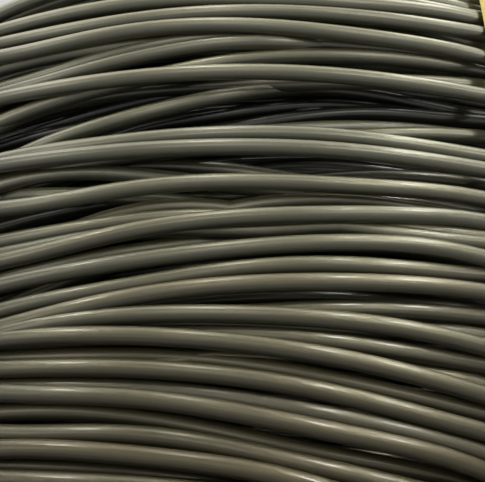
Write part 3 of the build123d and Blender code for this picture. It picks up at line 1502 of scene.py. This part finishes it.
@dataclass(frozen=True)
class Panel:
    """A soft panel of light with a grid before it, which faces a place on the coil's wall.

    Attributes:
        name: its name.
        faces: the azimuth in degrees and the height of the place that it faces.
        azimuth: azimuth at which it stands from there, in degrees from -Y towards +X.
        elevation: how high it stands over that place, in degrees.
        distance: how far from it it stands.
        width: its level side.
        height: its other side.
        radiance: how bright its face is, where 1 is a white surface in plain light.
        spread: the angle of the grid's beam, in degrees, where 179 is no grid.
        lean: how far its upper end leans over to the right of what it faces, in degrees.
    """

    name: str
    faces: tuple[float, float]
    azimuth: float
    elevation: float
    distance: float
    width: float
    height: float
    radiance: float
    spread: float = 179.0
    lean: float = 0.0

    def build(self, wall: float) -> None:
        """Adds the light.

        A light keeps its power as its beam narrows, so its face would become brighter. The power
        is therefore multiplied by 1 less h over the tangent of h, h being half the beam's angle.

        Args:
            wall: radius of the wall that it faces.
        """
        azimuth, elevation = math.radians(self.azimuth), math.radians(self.elevation)
        outward = np.array([
            math.cos(elevation) * math.sin(azimuth),
            -math.cos(elevation) * math.cos(azimuth),
            math.sin(elevation),
        ])
        level = np.array([math.cos(azimuth), math.sin(azimuth), 0.0])
        steep = np.cross(outward, level)
        lean = math.radians(self.lean)
        up = math.cos(lean) * steep + math.sin(lean) * level
        right = np.cross(up, outward)
        half = math.radians(self.spread) / 2
        light = bpy.data.lights.new(self.name, "AREA")
        light.shape = "RECTANGLE"
        light.size, light.size_y = self.width, self.height
        light.spread = 2 * half
        light.energy = self.radiance * math.pi * self.width * self.height * (1 - half / math.tan(half))
        panel = bpy.data.objects.new(self.name, light)
        turn = Matrix(np.stack([right, up, outward], axis=1).tolist()).to_4x4()
        around, height = math.radians(self.faces[0]), self.faces[1]
        faced = np.array([wall * math.sin(around), -wall * math.cos(around), height])
        panel.matrix_world = Matrix.Translation((faced + self.distance * outward).tolist()) @ turn
        panel.visible_camera = False
        bpy.context.scene.collection.objects.link(panel)


# Panels light the wall evenly, and each narrow lamp puts a highlight on a part of it. A row holds
# the name, the place that is faced, azimuth, elevation, distance, width, height, radiance, and for
# a narrowed light its spread and its lean.
PANELS = (
    Panel("top_panel", (0.0, 0.45), 0.0, 78.0, 1.75, 4.0, 1.6, 1.55),
    Panel("front_left_panel", (0.0, 0.98), -58.0, 30.0, 1.3, 1.5, 0.9, 2.9, 44.0),
    Panel("front_panel", (0.0, 0.98), 0.0, 30.0, 1.3, 1.5, 0.9, 1.4, 44.0),
    Panel("front_right_panel", (0.0, 0.98), 58.0, 30.0, 1.3, 1.5, 0.9, 2.4, 44.0),
    Panel("low_left_panel", (-12.0, 0.66), -55.0, -4.0, 1.2, 1.2, 0.8, 2.8, 40.0),
    Panel("low_panel", (0.0, 0.66), -12.0, -4.0, 1.2, 1.0, 0.8, 2.6, 40.0),
    Panel("low_right_panel", (5.0, 0.62), 24.0, 2.0, 1.2, 0.8, 0.7, 4.6, 36.0),
    Panel("side_right_panel", (10.0, 0.76), 50.0, 2.0, 1.2, 0.8, 0.7, 4.6, 36.0),
    Panel("right_lamp", (10.0, 0.50), 60.0, 58.0, 2.7, 0.50, 1.2, 5.0, 110.0, 36.0),
    Panel("left_lamp", (-4.0, 0.60), -16.0, 56.0, 1.6, 0.60, 0.6, 15.5, 15.0, -20.0),
    Panel("middle_left_lamp", (-8.0, 0.38), -15.0, 50.0, 1.5, 0.46, 0.3, 9.0, 13.0, -24.0),
    Panel("right_middle_lamp", (10.0, 0.30), 37.0, 37.0, 1.5, 0.50, 0.30, 90.0, 11.0, 20.0),
    Panel("right_low_lamp", (5.0, 0.145), 20.0, 44.0, 1.5, 0.26, 0.30, 180.0, 9.0, 44.0),
    Panel("left_low_lamp", (-15.0, 0.155), -50.0, 42.0, 1.5, 0.32, 0.30, 88.0, 9.0, -40.0),
    Panel("back_panel", (0.0, 0.40), 165.0, 48.0, 2.6, 2.4, 1.2, 2.5),
)


@dataclass(frozen=True)
class Studio:
    """A plain pale floor, a plain pale background and soft panels of light.

    Attributes:
        sizes: the coil's sizes.
        finish: the floor's finish, with the backdrop's colour.
        horizon_level: how bright the room is at the horizon.
        ceiling_level: how bright it is overhead.
        ceiling_from: the sine of the elevation from which on it is as bright.
        floor_reach: how far the floor reaches.
    """

    sizes: CoilSizes
    finish: FloorFinish = FloorFinish()
    horizon_level: float = 0.40
    ceiling_level: float = 0.55
    ceiling_from: float = 0.8
    floor_reach: float = 12.0

    def floor(self) -> None:
        """Adds the floor, a large square at height zero."""
        reach = self.floor_reach
        corners = [(-reach, -reach, 0), (reach, -reach, 0), (reach, reach, 0), (-reach, reach, 0)]
        mesh = bpy.data.meshes.new("floor")
        mesh.from_pydata(corners, [], [(0, 1, 2, 3)])
        added(mesh, self.finish.material("pale_floor"))

    def world(self) -> None:
        """Makes the world light as a plain grey room, lighter overhead, and look like the backdrop."""
        world = bpy.data.worlds.new("studio")
        world.use_nodes = True
        g = Graph(world.node_tree)
        rise = g.axes(g.node("TexCoord").outputs["Generated"])[2]
        level = g.span(rise, 0.0, self.ceiling_from, self.horizon_level, self.ceiling_level)
        color = g.mix(g.showing_backdrop(), level, rgba(self.finish.backdrop))
        background = g.node("Background", Color=color, Strength=1.0)
        g.node("OutputWorld", Surface=background.outputs[0])
        bpy.context.scene.world = world

    def build(self) -> None:
        """Adds the floor, the light and the background."""
        self.floor()
        self.world()
        for panel in PANELS:
            panel.build(self.sizes.outer)
        bpy.context.scene.view_settings.view_transform = "Standard"


def main() -> None:
    """Builds the coil and its studio, in order."""
    logging.basicConfig(level=logging.INFO, format="%(name)s %(message)s")
    sizes = CoilSizes.from_frame()
    camera = PhotoCamera(sizes.outer)
    camera.build()
    effects = Effects()
    winding = Winding(sizes, camera)
    winding.lay()
    wire = DrawnWireFinish().material("drawn_wire", effects)
    # The core is near black: painted shade where the hidden turns show through the gaps.
    core = PlainFinish(color=(0.012, 0.012, 0.011), roughness=0.8).material("hidden_turns_painted_shade", effects)
    WireTurns(sizes, winding, wire, core).build()
    strap = StrapFinish().material("yellow_strap", effects)
    zinc = ZincFinish().material("zinc_seal", effects)
    Binding(strap, zinc).dress()
    Studio(sizes).build()


if __name__ == "__main__":
    main()
